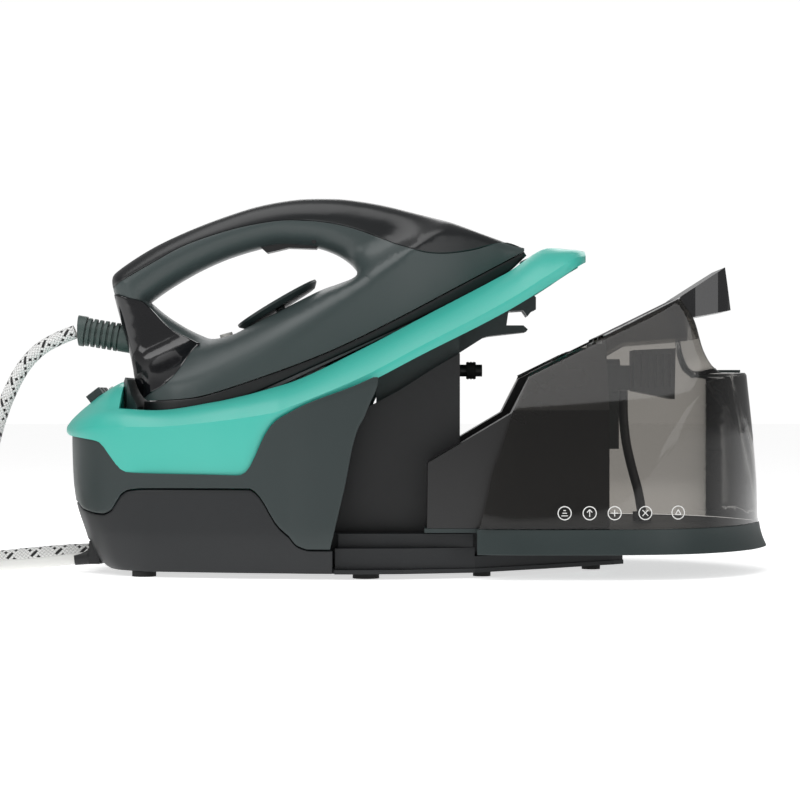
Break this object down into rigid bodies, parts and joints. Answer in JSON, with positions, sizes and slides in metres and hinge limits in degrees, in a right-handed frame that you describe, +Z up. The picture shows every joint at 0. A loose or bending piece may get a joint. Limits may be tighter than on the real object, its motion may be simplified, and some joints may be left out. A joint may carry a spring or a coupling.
{
  "type": "steam generator iron",
  "caption": "Steam iron parked on a boiler base with a sloping rest, braided steam hose, mains cord and a pull-out transparent water tank with a carrying handle.",
  "frame": {"origin": "centre of the footprint at the level of the feet, measured without hose and cord", "axes": "+Z up, +X from the control panel end towards the iron's tip and the pulled-out tank, +Y to the far side of the view"},
  "size_m": [0.629, 0.35, 0.2402],
  "materials": {
    "teal_plastic": "moulded teal plastic, satin gloss",
    "slate_plastic": "dark slate green-grey plastic, fine texture",
    "dark_plastic": "near-black moulded plastic",
    "iron_grey": "grey-green satin plastic",
    "gloss_black": "black gloss plastic",
    "black_plastic": "black plastic",
    "smoke_plastic": "smoky transparent plastic",
    "liner_black": "opaque black plastic liner",
    "rubber_black": "black rubber",
    "pad_silicone": "dark silicone",
    "steel": "brushed steel",
    "aluminium": "cast aluminium",
    "sole_coat": "ceramic coated steel sole",
    "brass": "brass",
    "board_green": "circuit board",
    "lens": "white indicator lens",
    "silicone_tube": "translucent silicone tube",
    "braid": "white braided textile with black flecks",
    "cord_grey": "light grey flexible cord",
    "plug_plastic": "light grey moulded plug",
    "suction_dark": "dark silicone hose",
    "ribbed_grey": "ribbed slate rubbery plastic"
  },
  "bodies": {
    "base": {"top_cover": "teal_plastic", "upper_housing": "slate_plastic", "lower_housing": "dark_plastic", "base_plate": "dark_plastic", "rubber_feet": "rubber_black", "rest_tray": "black_plastic", "rest_pads": "pad_silicone", "core_column": "black_plastic", "hook_bracket": "black_plastic", "nozzle_stem": "black_plastic", "nozzle_seal": "rubber_black", "boiler": "steel", "boiler_heater": "steel", "boiler_thermostat": "steel", "relief_valve": "brass", "steam_valve_body": "brass", "steam_valve_coil": "black_plastic", "pump_body": "black_plastic", "pump_coil": "steel", "control_board": "board_green", "inlet_tube": "silicone_tube", "feed_tube": "silicone_tube", "steam_tube": "silicone_tube", "cord_entry_grommet": "rubber_black", "indicator_lenses": "lens", "steam_hose": "braid", "steam_hose_return": "braid", "mains_cord": "cord_grey", "mains_cord_tail": "cord_grey", "steam_hose_coil": "braid", "mains_coil": "cord_grey", "mains_plug": "plug_plastic", "plug_pins": "steel"},
    "power_button": {"power_button": "black_plastic"},
    "eco_button": {"eco_button": "black_plastic"},
    "clean_button": {"clean_button": "black_plastic"},
    "tank": {"tank_shell": "smoke_plastic", "tank_liner": "liner_black", "tank_skirt": "slate_plastic", "latch_channel": "black_plastic", "tank_handle": "gloss_black", "coupling_socket": "slate_plastic", "suction_hose": "suction_dark", "suction_strainer": "black_plastic", "filter_cassette": "slate_plastic", "lid_pin": "black_plastic"},
    "lid": {"tank_lid": "smoke_plastic"},
    "iron": {"soleplate": "sole_coat", "heater_plate": "aluminium", "iron_skirt": "black_plastic", "iron_body": "iron_grey", "trigger_pin": "steel", "microswitch": "black_plastic", "handle_top": "gloss_black", "heel_cover": "gloss_black", "hose_sleeve": "ribbed_grey", "iron_steam_tube": "braid", "iron_lamp": "lens"},
    "trigger": {"steam_trigger": "black_plastic"},
    "dial": {"steam_dial": "gloss_black"}
  },
  "joints": [
    {"name": "tank_slide", "type": "slide", "parent": "base", "child": "tank", "axis": [1, 0, 0], "range_m": [-0.086, 0.13]},
    {"name": "lid_hinge", "type": "hinge", "parent": "tank", "child": "lid", "pos_m": [0.1884, 0, 0.1287], "axis": [0, -1, 0], "range_deg": [0, 75]},
    {"name": "iron_lift", "type": "slide", "parent": "base", "child": "iron", "axis": [0, 0, 1], "range_m": [0, 0.12]},
    {"name": "dial_turn", "type": "hinge", "parent": "iron", "child": "dial", "pos_m": [-0.0922, 0, 0.173], "axis": [-0.5105, 0, 0.8599], "range_deg": [-135, 135]},
    {"name": "trigger_pull", "type": "hinge", "parent": "iron", "child": "trigger", "pos_m": [-0.0675, 0, 0.212], "axis": [0, 1, 0], "range_deg": [0, 3.2], "stiffness_Nm_per_rad": 1.5, "springref_deg": -1.72},
    {"name": "power_button_press", "type": "slide", "parent": "base", "child": "power_button", "axis": [0.6126, 0, -0.7904], "range_m": [0, 0.002], "stiffness_N_per_m": 500, "springref_m": -0.001},
    {"name": "eco_button_press", "type": "slide", "parent": "base", "child": "eco_button", "axis": [0.6126, 0, -0.7904], "range_m": [0, 0.002], "stiffness_N_per_m": 500, "springref_m": -0.001},
    {"name": "clean_button_press", "type": "slide", "parent": "base", "child": "clean_button", "axis": [0.6126, 0, -0.7904], "range_m": [0, 0.002], "stiffness_N_per_m": 500, "springref_m": -0.001}
  ]
}
